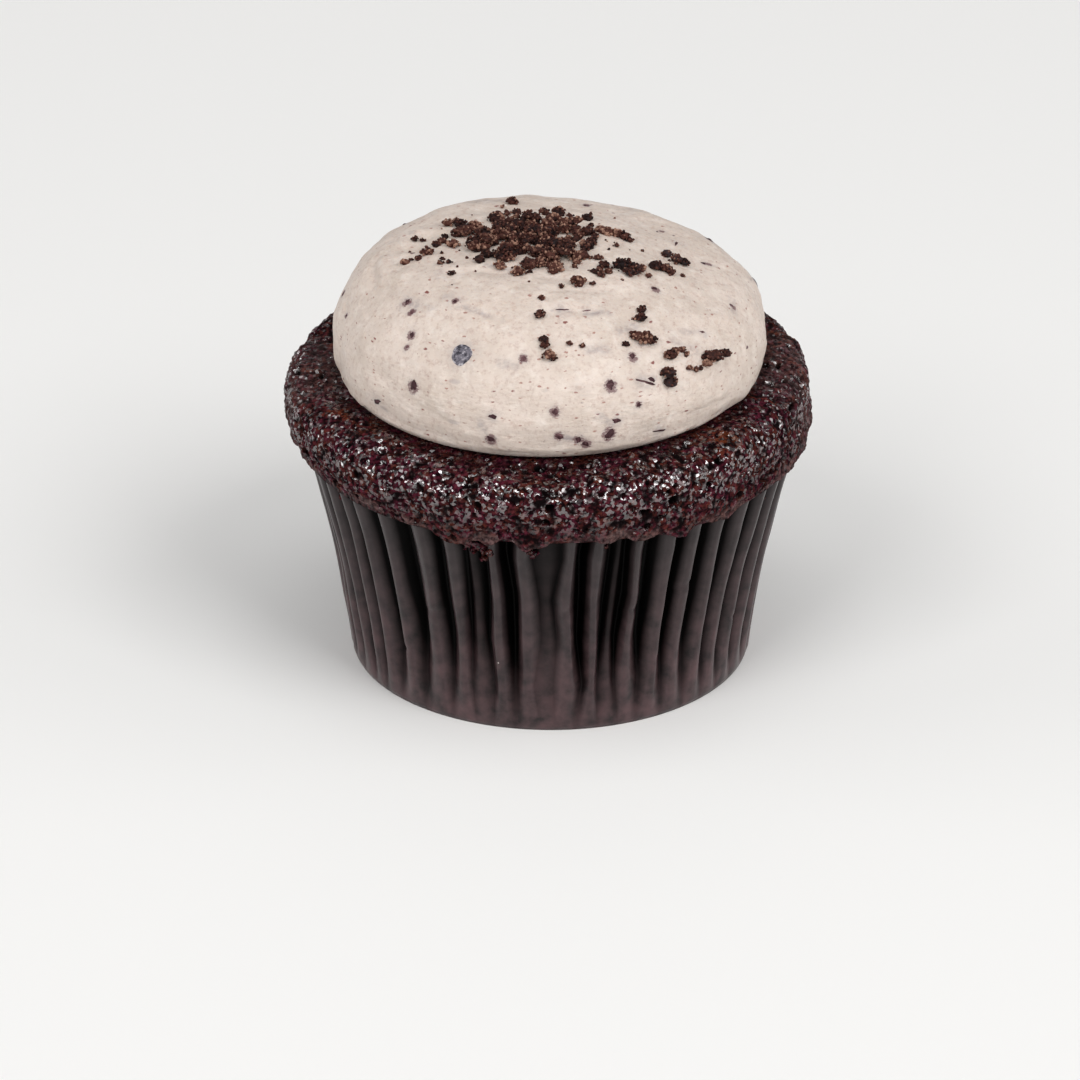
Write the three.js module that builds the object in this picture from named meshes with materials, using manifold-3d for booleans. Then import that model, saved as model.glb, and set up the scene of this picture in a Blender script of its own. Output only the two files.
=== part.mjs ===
// A frosted chocolate cupcake: a cake baked in a pleated paper case, with a lip that spills over the
// case all round, one mound of frosting spread on top and cookie crumbs scattered over the mound.
// Millimetres, +Z up. The origin is the centre of the case's flat base, on the surface it stands on.

import * as THREE from 'three';
import { mergeVertices } from 'three/addons/utils/BufferGeometryUtils.js';
import Module from 'manifold-3d';

const { degToRad, lerp, smoothstep } = THREE.MathUtils;
const wasm = await Module();
wasm.setup();

// ---------------------------------------------------------------- driving dimensions

const CLEARANCE = 0.3; // between neighbouring pieces
const WELD_DISTANCE = 1e-4; // vertices nearer than this are one

// Paper case, measured on the ridges of its pleats
const CASE_BASE_RADIUS = 25.5;
const CASE_RIM_RADIUS = 31.7;
const CASE_HEIGHT = 30.6;
const CASE_BOW = 0.7; // the wall curves in by this half way up
const CASE_CORNER = 0.6; // height of the rounding between base and wall
const CASE_CORNER_INSET = 0.15;
const CASE_LEVELS = [CASE_CORNER, 8, 19, CASE_HEIGHT];
const PAPER = 0.4;
const PLEATS = 48;
const STEPS_PER_PLEAT = 4;
const PLEAT_DEPTH = 1.1;
const PLEAT_RUN_OUT = 13; // the pleats reach their full depth at this height
const PLEAT_FOOT_SHARE = 0.3; // share of the depth left at the foot
const CRUSH_ANGLE = degToRad(-97); // middle of the stretch where the pleats are pressed flat
const CRUSH_SPREAD = degToRad(19);
const CRUSH_SHARE = 0.6; // share of the depth lost there

// Cake
const CAKE_STEPS = 120;
const LIP_RADIUS = 32.85; // its widest
const LIP_MIDDLE = 34.8; // height of the widest place
const LIP_SHIFT = 0.4; // the lip sits this far to the left of the case
const LIP_TIP = 0.25; // width of the lower edge
const LIP_EDGE = 29.35; // mean height of the lower edge
const LIP_LOBES = 6;
const LIP_LOBE_DROP = 0.45;
const LIP_LOBE_ANGLE = degToRad(-114); // one lobe hangs lowest here
const LIP_TILT = 0.75; // one side of the lower edge is this much higher than the mean
const LIP_TILT_ANGLE = degToRad(-160);
const LIP_ROWS = 3;
const LIP_SQUARENESS = 1.65; // of the section below the widest place
const CROWN_HEIGHT = 38.9; // seat of the frosting
const CROWN_TILT = 1.15; // the seat's far side is this much higher than its middle
const CROWN_TILT_ANGLE = degToRad(64);
const CROWN_RADIUS = 25.6;
const CROWN_ROWS = 8;
const CROWN_EDGE = 1.6; // the lumps fade out over this width beside the seat
const CROWN_SQUARENESS = 3.4; // exponent of a superellipse; 2 is an ellipse
const COARSE_LUMP = { size: 7, height: 0.65, seed: 11 };
const FINE_LUMP = { size: 3.2, height: 0.45, seed: 23 };

// Frosting
const MOUND_STEPS = 84;
const MOUND_RADIUS = 27.05; // its widest
const MOUND_MIDDLE = 42.4; // height of the widest place
const MOUND_RISE = 13.8; // from there to the top
const MOUND_FOOT_RADIUS = 25;
const MOUND_FOOT_SQUARENESS = 2.8;
const MOUND_SQUARENESS = 2.4;
const MOUND_FOOT_ROWS = 2;
const MOUND_TOP_ROWS = 12;
const MOUND_LEAN = 2.2; // the top lies this far to the left of the foot
const SWIRL_HEIGHT = 0.4; // ridge left by the spatula
const SWIRL_TURNS = 1.4; // from the side to the middle
const SWIRL_START = degToRad(35);
const SWIRL_FADE = 0.2; // share of the radius over which it dies out beside the widest place
const DIP_DEPTH = 0.5; // hollow under the crumb pile
const DIP_RADIUS = 9;
const SMEAR = { size: 13, height: 0.35, seed: 41 };

// Cookie crumbs
const PILE = { x: -2.5, y: 0, spread: 4.8, count: 40, largest: 2.6, smallest: 1.3, seed: 7 };
const CRUMB_FLATNESS = 0.75;
const CRUMB_JITTER = 0.22;
const CRUMB_STAND = 0.05; // share of a crumb's size that its centre lies above what carries it
const FUSE_TOLERANCE = 0.02; // details finer than this are dropped from the fused mound
// The larger crumbs that lie apart from the pile, as [x, y, size].
const LONE_CRUMBS = [
  [9.5, -6.1, 2.6], [11.6, -5.1, 2.2], [14.1, -3.1, 1.8], [16.4, -0.3, 2.2], [14.7, 1.1, 1.8],
  [3.2, -11.3, 1.6], [6.4, -7.4, 1.5], [7.9, 2.7, 2.1], [11.1, -14.8, 1.8], [11.3, -18.8, 2.8],
  [14.7, -19.7, 1.9], [14.4, -21.8, 2.3], [19.9, -17.1, 2.9], [-1.4, -17.2, 1.5], [-0.6, -21, 1.9],
  [2.5, -20.6, 1.4], [-17, 4.1, 1.4], [-16.2, -2.3, 1.7], [-13, 8.6, 1.9], [-13.2, -4.1, 1.5],
];

// ---------------------------------------------------------------- helpers

// A repeatable stream of numbers from 0 to 1.
function seededRandom(seed) {
  const modulus = 2147483647;
  let state = seed * 7919;
  return () => {
    state = (state * 16807) % modulus;
    return state / modulus;
  };
}

// A number from -1 to 1 that belongs to one corner of an integer lattice.
function cornerValue(i, j, k, seed) {
  let mix = Math.imul(i, 374761393) + Math.imul(j, 668265263) + Math.imul(k, 1442695041);
  mix = Math.imul(mix + Math.imul(seed, 974634777), 1274126177);
  mix = Math.imul(mix ^ (mix >>> 13), 1103515245);
  return ((mix ^ (mix >>> 16)) >>> 0) / 2147483648 - 1;
}

// Smooth humps and hollows, about one size across, up to one height high.
function lump(point, { size, height, seed }) {
  const scaled = point.clone().divideScalar(size);
  const low = scaled.clone().floor();
  const [u, v, w] = scaled.sub(low).toArray().map((share) => smoothstep(share, 0, 1));
  const corner = (i, j, k) => cornerValue(low.x + i, low.y + j, low.z + k, seed);
  const alongX = (j, k) => lerp(corner(0, j, k), corner(1, j, k), u);
  return height * lerp(lerp(alongX(0, 0), alongX(1, 0), v), lerp(alongX(0, 1), alongX(1, 1), v), w);
}

// The point at a radius, an angle and a height.
function polar(radius, angle, z) {
  return new THREE.Vector3(radius * Math.cos(angle), radius * Math.sin(angle), z);
}

// [radius, z] points on a quarter of a superellipse, from the side (first) to the top or foot.
function quarterArc([centreRadius, centreZ], reach, rise, squareness, rows) {
  return Array.from({ length: rows + 1 }, (_, row) => {
    const turn = (row / rows) * (Math.PI / 2);
    const across = Math.max(Math.cos(turn), 0) ** (2 / squareness);
    return [centreRadius + reach * across, centreZ + rise * Math.sin(turn) ** (2 / squareness)];
  });
}

// Bare positions with shared vertices.
function welded(geometry) {
  geometry.deleteAttribute('normal');
  geometry.deleteAttribute('uv');
  return mergeVertices(geometry, WELD_DISTANCE);
}

// A closed solid turned about Z from a section that may change on the way round. section(angle) is
// a list of [radius, z] points, from the axis at the foot to the axis at the top.
function turned(section, steps) {
  const rows = section(0).length;
  const blank = Array.from({ length: rows }, (_, row) => new THREE.Vector2(1, row));
  const lathe = new THREE.LatheGeometry(blank, steps);
  const position = lathe.getAttribute('position');
  for (let step = 0; step <= steps; step += 1) {
    const angle = ((step % steps) / steps) * 2 * Math.PI;
    section(angle).forEach(([radius, z], row) => {
      position.setXYZ(step * rows + row, ...polar(radius, angle, z).toArray());
    });
  }
  return welded(lathe);
}

// Removes the triangles that have no area because two of their corners are one vertex.
function withoutSlivers(geometry) {
  const corners = geometry.index.array;
  const kept = [];
  for (let first = 0; first < corners.length; first += 3) {
    const [a, b, c] = corners.slice(first, first + 3);
    if (a !== b && b !== c && c !== a) kept.push(a, b, c);
  }
  geometry.setIndex(kept);
  return geometry;
}

function solidOf(geometry) {
  return new wasm.Manifold(new wasm.Mesh({
    numProp: 3,
    vertProperties: new Float32Array(geometry.getAttribute('position').array),
    triVerts: new Uint32Array(geometry.index.array),
  }));
}

// The solid without hollows sealed inside it or scraps beside it.
function largestBody(solid) {
  return solid.decompose().reduce((best, body) => (body.volume() > best.volume() ? body : best));
}

function geometryOf(solid) {
  const { vertProperties, triVerts } = solid.getMesh();
  const geometry = new THREE.BufferGeometry();
  geometry.setAttribute('position', new THREE.BufferAttribute(vertProperties, 3));
  geometry.setIndex(new THREE.BufferAttribute(triVerts, 1));
  return geometry;
}

function node(name, geometry, material) {
  geometry.computeVertexNormals();
  const mesh = new THREE.Mesh(geometry, material);
  mesh.name = name;
  return mesh;
}

// ---------------------------------------------------------------- paper case

// Radius of the pleats' ridges at a height.
function caseRadius(z) {
  const rise = z / CASE_HEIGHT;
  return lerp(CASE_BASE_RADIUS, CASE_RIM_RADIUS, rise) - CASE_BOW * Math.sin(Math.PI * rise);
}

// How far the paper lies inside the ridges: two steps out, two steps in for each pleat.
function pleatInset(angle, z) {
  const wave = 0.5 - Math.cos(PLEATS * angle + Math.PI / STEPS_PER_PLEAT) / Math.SQRT2;
  const fromCrush = Math.atan2(Math.sin(angle - CRUSH_ANGLE), Math.cos(angle - CRUSH_ANGLE));
  const crushed = CRUSH_SHARE * Math.exp(-((fromCrush / CRUSH_SPREAD) ** 2));
  const grown = lerp(PLEAT_FOOT_SHARE, 1, smoothstep(z, 0, PLEAT_RUN_OUT));
  return PLEAT_DEPTH * wave * (1 - crushed) * grown;
}

function caseSection(angle) {
  const wall = (levels, inset) => levels.map((z) => [caseRadius(z) - pleatInset(angle, z) - inset, z]);
  const baseRadius = CASE_BASE_RADIUS - CASE_CORNER_INSET;
  return [
    [0, 0],
    [baseRadius, 0],
    ...wall(CASE_LEVELS, 0),
    ...wall(CASE_LEVELS.toReversed(), PAPER),
    [baseRadius - PAPER, PAPER],
    [0, PAPER],
  ];
}

// ---------------------------------------------------------------- cake

// Height of the lip's lower edge, which hangs in lobes over the case.
function lipEdge(angle) {
  const rise = LIP_TILT * Math.cos(angle - LIP_TILT_ANGLE);
  return LIP_EDGE + rise - LIP_LOBE_DROP * Math.cos(LIP_LOBES * (angle - LIP_LOBE_ANGLE));
}

// How much higher the cake's sloping seat is here than in the middle.
function tilt(radius, angle) {
  return CROWN_TILT * (radius / CROWN_RADIUS) * Math.cos(angle - CROWN_TILT_ANGLE);
}

// The crust with its humps and hollows, which push it away from the middle of the lip.
function crust([radius, z], angle) {
  const point = polar(radius, angle, z);
  const fade = smoothstep(radius, CROWN_RADIUS, CROWN_RADIUS + CROWN_EDGE);
  const push = fade * (lump(point, COARSE_LUMP) + lump(point, FINE_LUMP));
  const away = new THREE.Vector2(radius - CROWN_RADIUS, z - LIP_EDGE).normalize();
  const lift = tilt(radius, angle) * smoothstep(z, LIP_EDGE, CROWN_HEIGHT);
  const shift = LIP_SHIFT * fade * smoothstep(z, LIP_EDGE, LIP_MIDDLE) * Math.cos(angle);
  return [radius + push * away.x - shift, z + push * away.y + lift];
}

function cakeSection(angle) {
  const core = (z) => [caseRadius(z) - PLEAT_DEPTH - PAPER - CLEARANCE, z];
  const foot = PAPER + CLEARANCE;
  const roof = CASE_HEIGHT + CLEARANCE;
  const edge = lipEdge(angle);
  const rimRadius = CASE_RIM_RADIUS + CLEARANCE;
  const tipRadius = caseRadius(edge) + CLEARANCE;
  const below = quarterArc([tipRadius + LIP_TIP, LIP_MIDDLE], LIP_RADIUS - tipRadius - LIP_TIP,
    edge - LIP_MIDDLE, LIP_SQUARENESS, LIP_ROWS);
  const above = quarterArc([CROWN_RADIUS, LIP_MIDDLE], LIP_RADIUS - CROWN_RADIUS,
    CROWN_HEIGHT - LIP_MIDDLE, CROWN_SQUARENESS, CROWN_ROWS);
  const outside = [...below.slice(1).reverse(), ...above].map((point) => crust(point, angle));
  return [
    [0, foot],
    core(foot),
    ...CASE_LEVELS.slice(1, -1).map(core),
    [core(CASE_HEIGHT)[0], roof],
    [rimRadius, roof],
    [tipRadius, edge],
    ...outside,
    [0, CROWN_HEIGHT],
  ];
}

// ---------------------------------------------------------------- frosting

// How far the spatula's swirl, the dip under the crumbs and the smears raise the mound.
function spread([radius, z], angle) {
  const point = polar(radius, angle, z);
  const inwards = 1 - radius / MOUND_RADIUS;
  const swirl = Math.cos(angle - SWIRL_START - SWIRL_TURNS * 2 * Math.PI * inwards);
  const fade = smoothstep(inwards, 0, SWIRL_FADE) * smoothstep(radius, 0, DIP_RADIUS);
  const fromPile = Math.hypot(point.x - PILE.x, point.y - PILE.y) / DIP_RADIUS;
  const dip = DIP_DEPTH * Math.exp(-(fromPile ** 2));
  return (SWIRL_HEIGHT * swirl + lump(point, SMEAR)) * fade - dip;
}

function moundSection(angle) {
  const middle = [MOUND_FOOT_RADIUS, MOUND_MIDDLE];
  const foot = CROWN_HEIGHT + CLEARANCE;
  const below = quarterArc(middle, MOUND_RADIUS - MOUND_FOOT_RADIUS, foot - MOUND_MIDDLE,
    MOUND_FOOT_SQUARENESS, MOUND_FOOT_ROWS);
  const above = quarterArc([0, MOUND_MIDDLE], MOUND_RADIUS, MOUND_RISE, MOUND_SQUARENESS, MOUND_TOP_ROWS);
  const top = above.map(([radius, z]) => [radius, z + spread([radius, z], angle)]);
  return [[0, foot], ...below.slice(1).reverse(), ...top].map(([radius, z]) => {
    const lift = tilt(radius, angle) * (1 - smoothstep(z, foot, MOUND_MIDDLE + MOUND_RISE));
    return [radius, z + lift];
  });
}

// The mound, with its top leaning to the left.
function mound() {
  const geometry = turned(moundSection, MOUND_STEPS);
  const position = geometry.getAttribute('position');
  for (let index = 0; index < position.count; index += 1) {
    const rise = Math.max(position.getZ(index) - MOUND_MIDDLE, 0) / MOUND_RISE;
    position.setX(index, position.getX(index) - MOUND_LEAN * rise ** 2);
  }
  return withoutSlivers(geometry);
}

// One angular crumb of a size, turned at random.
function crumb(size, random) {
  const geometry = welded(new THREE.IcosahedronGeometry(size / 2));
  const position = geometry.getAttribute('position');
  for (let index = 0; index < position.count; index += 1) {
    const corner = new THREE.Vector3().fromBufferAttribute(position, index);
    corner.multiplyScalar(1 + CRUMB_JITTER * (2 * random() - 1));
    position.setXYZ(index, corner.x, corner.y, corner.z * CRUMB_FLATNESS);
  }
  geometry.rotateX(random() * Math.PI);
  geometry.rotateZ(random() * Math.PI);
  return geometry;
}

// The places of all crumbs as [x, y, size]: a pile drawn at random, largest first, and the lone ones.
function crumbPlaces(random) {
  const pile = Array.from({ length: PILE.count }, (_, rank) => {
    const angle = random() * 2 * Math.PI;
    const distance = PILE.spread * Math.sqrt(-Math.log(1 - random()));
    const size = lerp(PILE.largest, PILE.smallest, rank / (PILE.count - 1));
    return [PILE.x + distance * Math.cos(angle), PILE.y + distance * Math.sin(angle), size];
  });
  return [...pile, ...LONE_CRUMBS];
}

// The mound and its crumbs, fused. Each crumb lands on the mound or on the crumbs laid before it.
function crumbedMound() {
  const base = mound();
  const random = seededRandom(PILE.seed);
  const laid = [new THREE.Mesh(base)];
  const ray = new THREE.Raycaster();
  const down = new THREE.Vector3(0, 0, -1);
  const clearOfAll = MOUND_MIDDLE + 2 * MOUND_RISE;
  for (const [x, y, size] of crumbPlaces(random)) {
    ray.set(new THREE.Vector3(x, y, clearOfAll), down);
    const [hit] = ray.intersectObjects(laid);
    const centre = hit.point.addScaledVector(hit.face.normal, CRUMB_STAND * size);
    laid.push(new THREE.Mesh(crumb(size, random).translate(...centre.toArray())));
  }
  const fused = wasm.Manifold.union(laid.map((mesh) => solidOf(mesh.geometry)));
  return geometryOf(largestBody(fused.simplify(FUSE_TOLERANCE)));
}

// ---------------------------------------------------------------- materials and assembly

const greaseproofPaper = new THREE.MeshStandardMaterial({ color: '#1d1315', roughness: 0.45, metalness: 0 });
const chocolateCrust = new THREE.MeshStandardMaterial({ color: '#34191a', roughness: 0.55, metalness: 0 });
const cookieFrosting = new THREE.MeshStandardMaterial({ color: '#b5a79f', roughness: 0.5, metalness: 0 });

const cupcake = new THREE.Group();
cupcake.add(
  node('paper_case', withoutSlivers(turned(caseSection, PLEATS * STEPS_PER_PLEAT)), greaseproofPaper),
  node('cake', withoutSlivers(turned(cakeSection, CAKE_STEPS)), chocolateCrust),
  node('frosting', crumbedMound(), cookieFrosting),
);

export default cupcake;
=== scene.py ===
"""The frosted chocolate cupcake: its paper case, crust, frosting and cookie crumbs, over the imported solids.

Sizes are in mm and turned to metres where a mesh or a node takes them. Bearings are degrees seen from
above, from the front (-Y) towards the right (+X). Elevations are degrees above the mound's middle.
"""

import functools
import math
import random

import bpy
import numpy as np
from mathutils import Matrix, Vector


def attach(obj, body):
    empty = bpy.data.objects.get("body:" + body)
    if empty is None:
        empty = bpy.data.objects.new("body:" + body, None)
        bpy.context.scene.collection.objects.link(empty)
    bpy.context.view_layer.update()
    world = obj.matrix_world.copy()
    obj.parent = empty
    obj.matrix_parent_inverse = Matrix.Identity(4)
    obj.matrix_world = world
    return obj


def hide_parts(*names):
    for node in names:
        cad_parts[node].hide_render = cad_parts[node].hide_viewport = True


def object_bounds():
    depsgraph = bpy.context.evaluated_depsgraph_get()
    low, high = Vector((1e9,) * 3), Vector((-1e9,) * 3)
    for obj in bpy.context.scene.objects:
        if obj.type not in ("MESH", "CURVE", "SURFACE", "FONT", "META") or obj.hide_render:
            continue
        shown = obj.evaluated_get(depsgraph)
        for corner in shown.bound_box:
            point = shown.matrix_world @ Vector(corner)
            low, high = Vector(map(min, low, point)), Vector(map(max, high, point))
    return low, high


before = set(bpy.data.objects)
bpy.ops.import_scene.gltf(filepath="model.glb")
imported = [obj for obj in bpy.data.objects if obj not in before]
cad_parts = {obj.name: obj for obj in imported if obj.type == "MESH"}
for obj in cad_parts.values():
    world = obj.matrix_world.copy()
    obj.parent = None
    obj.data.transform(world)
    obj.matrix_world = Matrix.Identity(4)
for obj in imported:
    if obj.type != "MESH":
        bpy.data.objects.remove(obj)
CAD_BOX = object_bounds()

# ------------------------ driving dimensions, as the solids have them

MM = 0.001
CLEARANCE = 0.3  # between one solid and the next

CASE_BASE_RADIUS = 25.5
CASE_RIM_RADIUS = 31.7
CASE_HEIGHT = 30.6
CASE_BOW = 0.7
CASE_CORNER = 0.6
CASE_CORNER_INSET = 0.15
CORE_INSET = 3.3  # from the pleats' ridges to the cake inside the case, clear of the deepest groove
PLEATS = 48

LIP_RADIUS = 32.85
LIP_MIDDLE = 34.8
LIP_SHIFT = 0.4
LIP_TIP = 0.25
LIP_EDGE = 29.35
LIP_LOBES = 6
LIP_LOBE_DROP = 0.45
LIP_LOBE_ANGLE = math.radians(-114)
LIP_TILT = 0.75
LIP_TILT_ANGLE = math.radians(-160)
LIP_SQUARENESS = 1.65
CROWN_HEIGHT = 38.9
CROWN_TILT = 1.15
CROWN_TILT_ANGLE = math.radians(64)
CROWN_RADIUS = 25.6
CROWN_EDGE = 1.6
CROWN_SQUARENESS = 3.4
CAKE_FOOT = 0.7
COARSE_LUMP = (7, 0.65, 11)  # size, height, seed
FINE_LUMP = (3.2, 0.45, 23)

MOUND_RADIUS = 27.05
MOUND_MIDDLE = 42.4
MOUND_RISE = 13.8
MOUND_FOOT = CROWN_HEIGHT + CLEARANCE
MOUND_FOOT_RADIUS = 25
MOUND_FOOT_SQUARENESS = 2.8
MOUND_SQUARENESS = 2.4
MOUND_LEAN = 2.2
SWIRL_HEIGHT = 0.4
SWIRL_TURNS = 1.4
SWIRL_START = math.radians(35)
SWIRL_FADE = 0.2
DIP_DEPTH = 0.5
DIP_RADIUS = 9
SMEAR = (13, 0.35, 41)

PILE_X, PILE_Y = -2.5, 0
PILE_SPREAD = 4.8
PILE_COUNT = 40
PILE_LARGEST, PILE_SMALLEST = 2.6, 1.3
PILE_SEED = 7

# ------------------------ looks: what the solids leave out

PAPER = 0.15
COLUMNS_PER_PLEAT = 16
CASE_ROW = 0.56
PLEAT_DEPTH = 2.3
PLEAT_FOOT = -2  # the pleats would run out at this height, and are full at the next
PLEAT_FULL = 15
RIDGE_SHARE = 0.18  # of each fold, from the ridge to the groove, is nearly level
FRONT_FIRST_PLEAT = 39  # the pleats are counted from the front, and the list below starts with this one
# The pleats in front, from left to right: bearing, how far the ridge stands out, and the depth of the
# groove after it.
FRONT_PLEATS = [
    (-63.1, 1, 1), (-56.7, 1, 0.9), (-50.6, 1, 1), (-42.2, 1, 1.1), (-32.1, 1, 0.9), (-24.3, 1, 0.7),
    (-19, 0.6, 0.75), (-14, 1, 1.1), (-6.5, 0.95, 0.5), (-1, 0.6, 0.55), (4.2, 1, 1.1), (11.4, 1, 0.8),
    (16, 0.55, 0.95), (20.9, 1, 1), (28.6, 1, 1), (35.7, 1, 1), (43.7, 1, 1), (50.9, 1, 1), (58.3, 1, 1),
]
CRUSHED = 24  # degrees either side of the front in which the pleats are pressed flat and kinked
KINK_HEIGHT = 6.5
CREASE_REACH = 3.2  # degrees
CREASE_WIDTH, CREASE_DEPTH = 0.45, 0.3
# Short creases across the paper: bearing and height.
CREASES = [
    (-44.6, 8.3), (-31.5, 15.7), (10.6, 13), (21.2, 17.1), (26.7, 8.4), (5.2, 18.1), (61.5, 10.2),
    (35, 19.2),
]

# Drips along the lip's lower edge: bearing, drop and half width; a notch has a negative drop.
DRIPS = [
    (-40, -0.2, 2), (-35, 0.35, 1.2), (-27, -0.3, 1), (-25, 0.9, 0.9), (-21, 1.5, 1.2), (-17, 0.3, 1),
    (-13.5, 1.2, 0.8), (-8.5, -0.35, 1), (-6.5, 0.8, 0.8), (-4, 1.4, 1.4), (5, 0.8, 1), (12, 0.9, 1),
    (20, 0.8, 1), (30, 0.5, 1.1), (35, -0.4, 1.2), (52, -0.8, 3), (61, -0.35, 3),
]
HIDDEN_DRIPS = 22  # drawn at random round the back
LIP_EDGE_TOP = 30.6  # the lip's edge rises no higher than this, near the paper's rim
PITS = 700
PIT_SMALLEST, PIT_GROWTH = 0.2, 0.5  # the smallest radius, and how much larger the largest is

CRUST_COLUMNS = 940
CRUST_STEP = 0.165
MOUND_COLUMNS = 640
MOUND_STEP = 0.3
SEATS_FROM = 42.8  # height that bearings and elevations on the mound are seen from

# ------------------------ helpers: numbers


def smooth(value, low, high):
    """The share of the way from low to high, with soft ends."""
    share = np.clip((value - low) / (high - low), 0, 1)
    return share * share * (3 - 2 * share)


def corner_value(i, j, k, seed):
    """A number from -1 to 1 for each corner of an integer lattice, the same as in the solids."""
    word = np.uint32
    i, j, k = (np.asarray(value).astype(np.int64).astype(word) for value in (i, j, k))
    mix = i * word(374761393) + j * word(668265263) + k * word(1442695041)
    mix = (mix + word(seed * 974634777 % 2**32)) * word(1274126177)
    mix = (mix ^ (mix >> word(13))) * word(1103515245)
    return (mix ^ (mix >> word(16))) / 2147483648 - 1


def lump(x, y, z, size, height, seed):
    """Smooth humps and hollows, about one size across, up to one height high."""
    scaled = [np.asarray(value) / size for value in (x, y, z)]
    low = [np.floor(value) for value in scaled]
    u, v, w = (smooth(value - base, 0, 1) for value, base in zip(scaled, low))
    total = 0
    for i, share_i in ((0, 1 - u), (1, u)):
        for j, share_j in ((0, 1 - v), (1, v)):
            for k, share_k in ((0, 1 - w), (1, w)):
                corner = corner_value(low[0] + i, low[1] + j, low[2] + k, seed)
                total = total + corner * share_i * share_j * share_k
    return height * total


def stream(seed):
    """The solids' repeatable stream of numbers from 0 to 1."""
    modulus = 2147483647
    state = seed * 7919
    while True:
        state = state * 16807 % modulus
        yield state / modulus


def quarter_arc(centre, reach, rise, squareness, rows=400):
    """Points on a quarter of a superellipse, from the side (first) to the top or foot."""
    turn = np.linspace(0, math.pi / 2, rows)
    across = np.maximum(np.cos(turn), 0) ** (2 / squareness)
    up = np.sin(turn) ** (2 / squareness)
    return np.stack([centre[0] + reach * across, centre[1] + rise * up], axis=1)


def evenly(outline, step):
    """The same outline with points about one step apart."""
    walked = np.concatenate([[0], np.cumsum(np.linalg.norm(np.diff(outline, axis=0), axis=1))])
    stops = np.linspace(0, walked[-1], round(walked[-1] / step) + 1)
    return np.stack([np.interp(stops, walked, outline[:, axis]) for axis in (0, 1)], axis=1)


# ------------------------ helpers: meshes


def deselect():
    bpy.ops.object.select_all(action="DESELECT")


def make_active(piece):
    deselect()
    piece.select_set(True)
    bpy.context.view_layer.objects.active = piece


def turned(name, rings, sides, open_top=False):
    """A skin of revolution: a disc is extruded and scaled ring by ring. A ring is a radius and a height."""
    (radius, height), *others = rings
    deselect()
    foot = (0, 0, height * MM)
    bpy.ops.mesh.primitive_circle_add(vertices=sides, radius=radius * MM, fill_type="NGON", location=foot)
    piece = bpy.context.object
    piece.name = name
    bpy.ops.object.mode_set(mode="EDIT")
    bpy.ops.mesh.select_all(action="SELECT")
    for next_radius, next_height in others:
        rise = (0, 0, (next_height - height) * MM)
        grow = next_radius / radius
        bpy.ops.mesh.extrude_region_move(TRANSFORM_OT_translate={"value": rise})
        bpy.ops.transform.resize(value=(grow, grow, 1), center_override=(0, 0, 0))
        radius, height = next_radius, next_height
    if open_top:
        bpy.ops.mesh.delete(type="ONLY_FACE")
    bpy.ops.mesh.select_all(action="SELECT")
    bpy.ops.mesh.normals_make_consistent(inside=False)
    bpy.ops.object.mode_set(mode="OBJECT")
    bpy.ops.object.transform_apply(location=True)
    return piece


def modify(piece, kind, **settings):
    """Adds a modifier with its settings and applies it."""
    make_active(piece)
    modifier = piece.modifiers.new(kind.title(), kind)
    for name, value in settings.items():
        setattr(modifier, name, value)
    bpy.ops.object.modifier_apply(modifier=modifier.name)


def displace(piece, kind, size, depth, middle, group, **look):
    """Pushes a piece's skin out and in along its normals by a pattern of one size."""
    pattern = bpy.data.textures.new(f"{piece.name} {kind}", kind)
    for name, value in {"noise_scale": size * MM, **look}.items():
        setattr(pattern, name, value)
    settings = {"texture": pattern, "texture_coords": "LOCAL", "strength": depth * MM, "mid_level": middle}
    modify(piece, "DISPLACE", vertex_group=group, **settings)
    bpy.data.textures.remove(pattern)


def points_of(piece):
    """A piece's points in mm, as one row each."""
    flat = np.empty(len(piece.data.vertices) * 3)
    piece.data.vertices.foreach_get("co", flat)
    return flat.reshape(-1, 3) / MM


def normals_of(piece):
    flat = np.empty(len(piece.data.vertices) * 3)
    piece.data.vertex_normals.foreach_get("vector", flat)
    return flat.reshape(-1, 3)


def put_points(piece, points):
    piece.data.vertices.foreach_set("co", (points * MM).ravel())
    piece.data.update()


def polar_of(points):
    """Radius, angle and height of each point."""
    return np.hypot(points[:, 0], points[:, 1]), np.arctan2(points[:, 1], points[:, 0]), points[:, 2]


def from_polar(radius, angle, height):
    return np.stack([radius * np.cos(angle), radius * np.sin(angle), height], axis=1)


def weigh(piece, name, shares):
    """A vertex group that holds one share, 0 to 1, for each point."""
    group = piece.vertex_groups.new(name=name)
    for index in np.nonzero(shares > 0.001)[0]:
        group.add([int(index)], float(shares[index]), "REPLACE")


def paint(piece, name, shares):
    """An attribute that holds one share, 0 to 1, for each point, for the material to read."""
    layer = piece.data.attributes.new(name, "FLOAT", "POINT")
    layer.data.foreach_set("value", np.asarray(shares, dtype=np.float32))


def smooth_shade(piece):
    make_active(piece)
    bpy.ops.object.shade_smooth()


def dress(piece, material, slot, *nodes):
    """Gives a piece its material and says what it rides on and replaces; the slot is not used."""
    piece.data.materials.clear()
    piece.data.materials.append(material)
    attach(piece, "root")
    if nodes:
        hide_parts(*nodes)
    return piece


# ------------------------ helpers: materials


def colour(code):
    """Linear RGBA of an sRGB hex colour."""
    parts = [int(code[start:start + 2], 16) / 255 for start in (1, 3, 5)]
    return [part / 12.92 if part <= 0.04045 else ((part + 0.055) / 1.055) ** 2.4 for part in parts] + [1]


def per_metre(size):
    """The scale of a pattern whose cells are one size, in mm, across."""
    return 1 / (size * MM)


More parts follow.
